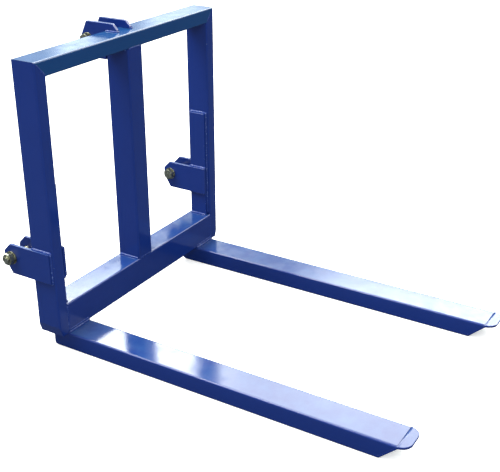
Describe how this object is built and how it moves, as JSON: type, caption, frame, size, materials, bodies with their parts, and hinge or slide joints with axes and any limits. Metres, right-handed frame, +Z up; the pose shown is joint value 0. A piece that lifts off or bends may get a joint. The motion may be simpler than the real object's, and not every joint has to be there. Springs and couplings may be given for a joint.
{
  "type": "tractor pallet fork attachment",
  "caption": "Welded box-section frame on two fixed fork tines, with lower link clevises and a top link clevis for a three-point linkage.",
  "frame": {"origin": "on the ground plane under the tines, midway across the frame and midway along the whole length from tine tips to link plates", "axes": "+X across the frame to the right as seen from the tines' tips looking at the frame, +Y from the tine tips towards the tractor, +Z up"},
  "size_m": [0.996, 1.365, 0.978],
  "materials": {
    "frame": "gloss blue paint over steel box section",
    "link_lugs": "gloss blue paint over flame-cut plate",
    "tines": "gloss blue paint over steel box section",
    "welds": "gloss blue paint over rippled weld beads",
    "fasteners": "zinc plated, pale yellow passivated"
  },
  "bodies": {
    "root": {"bottom_rail": "frame", "centre_post": "frame", "left_corner_welds": "welds", "left_doubler": "frame", "left_doubler_welds": "welds", "left_foot_cap": "frame", "left_link_bolt": "fasteners", "left_link_lug_inner": "link_lugs", "left_link_lug_outer": "link_lugs", "left_link_nut": "fasteners", "left_link_washers": "fasteners", "left_lug_welds": "welds", "left_rail_welds": "welds", "left_tine": "tines", "left_tine_end_cap": "tines", "left_tine_nose": "tines", "left_tine_welds": "welds", "left_top_lug_welds": "welds", "left_upright": "frame", "post_welds": "welds", "right_corner_welds": "welds", "right_doubler": "frame", "right_doubler_welds": "welds", "right_foot_cap": "frame", "right_link_bolt": "fasteners", "right_link_lug_inner": "link_lugs", "right_link_lug_outer": "link_lugs", "right_link_nut": "fasteners", "right_link_washers": "fasteners", "right_lug_welds": "welds", "right_rail_welds": "welds", "right_tine": "tines", "right_tine_end_cap": "tines", "right_tine_nose": "tines", "right_tine_welds": "welds", "right_top_lug_welds": "welds", "right_upright": "frame", "top_link_bolt": "fasteners", "top_link_lug_left": "link_lugs", "top_link_lug_right": "link_lugs", "top_link_nut": "fasteners", "top_link_washers": "fasteners", "top_rail": "frame"}
  },
  "joints": []
}
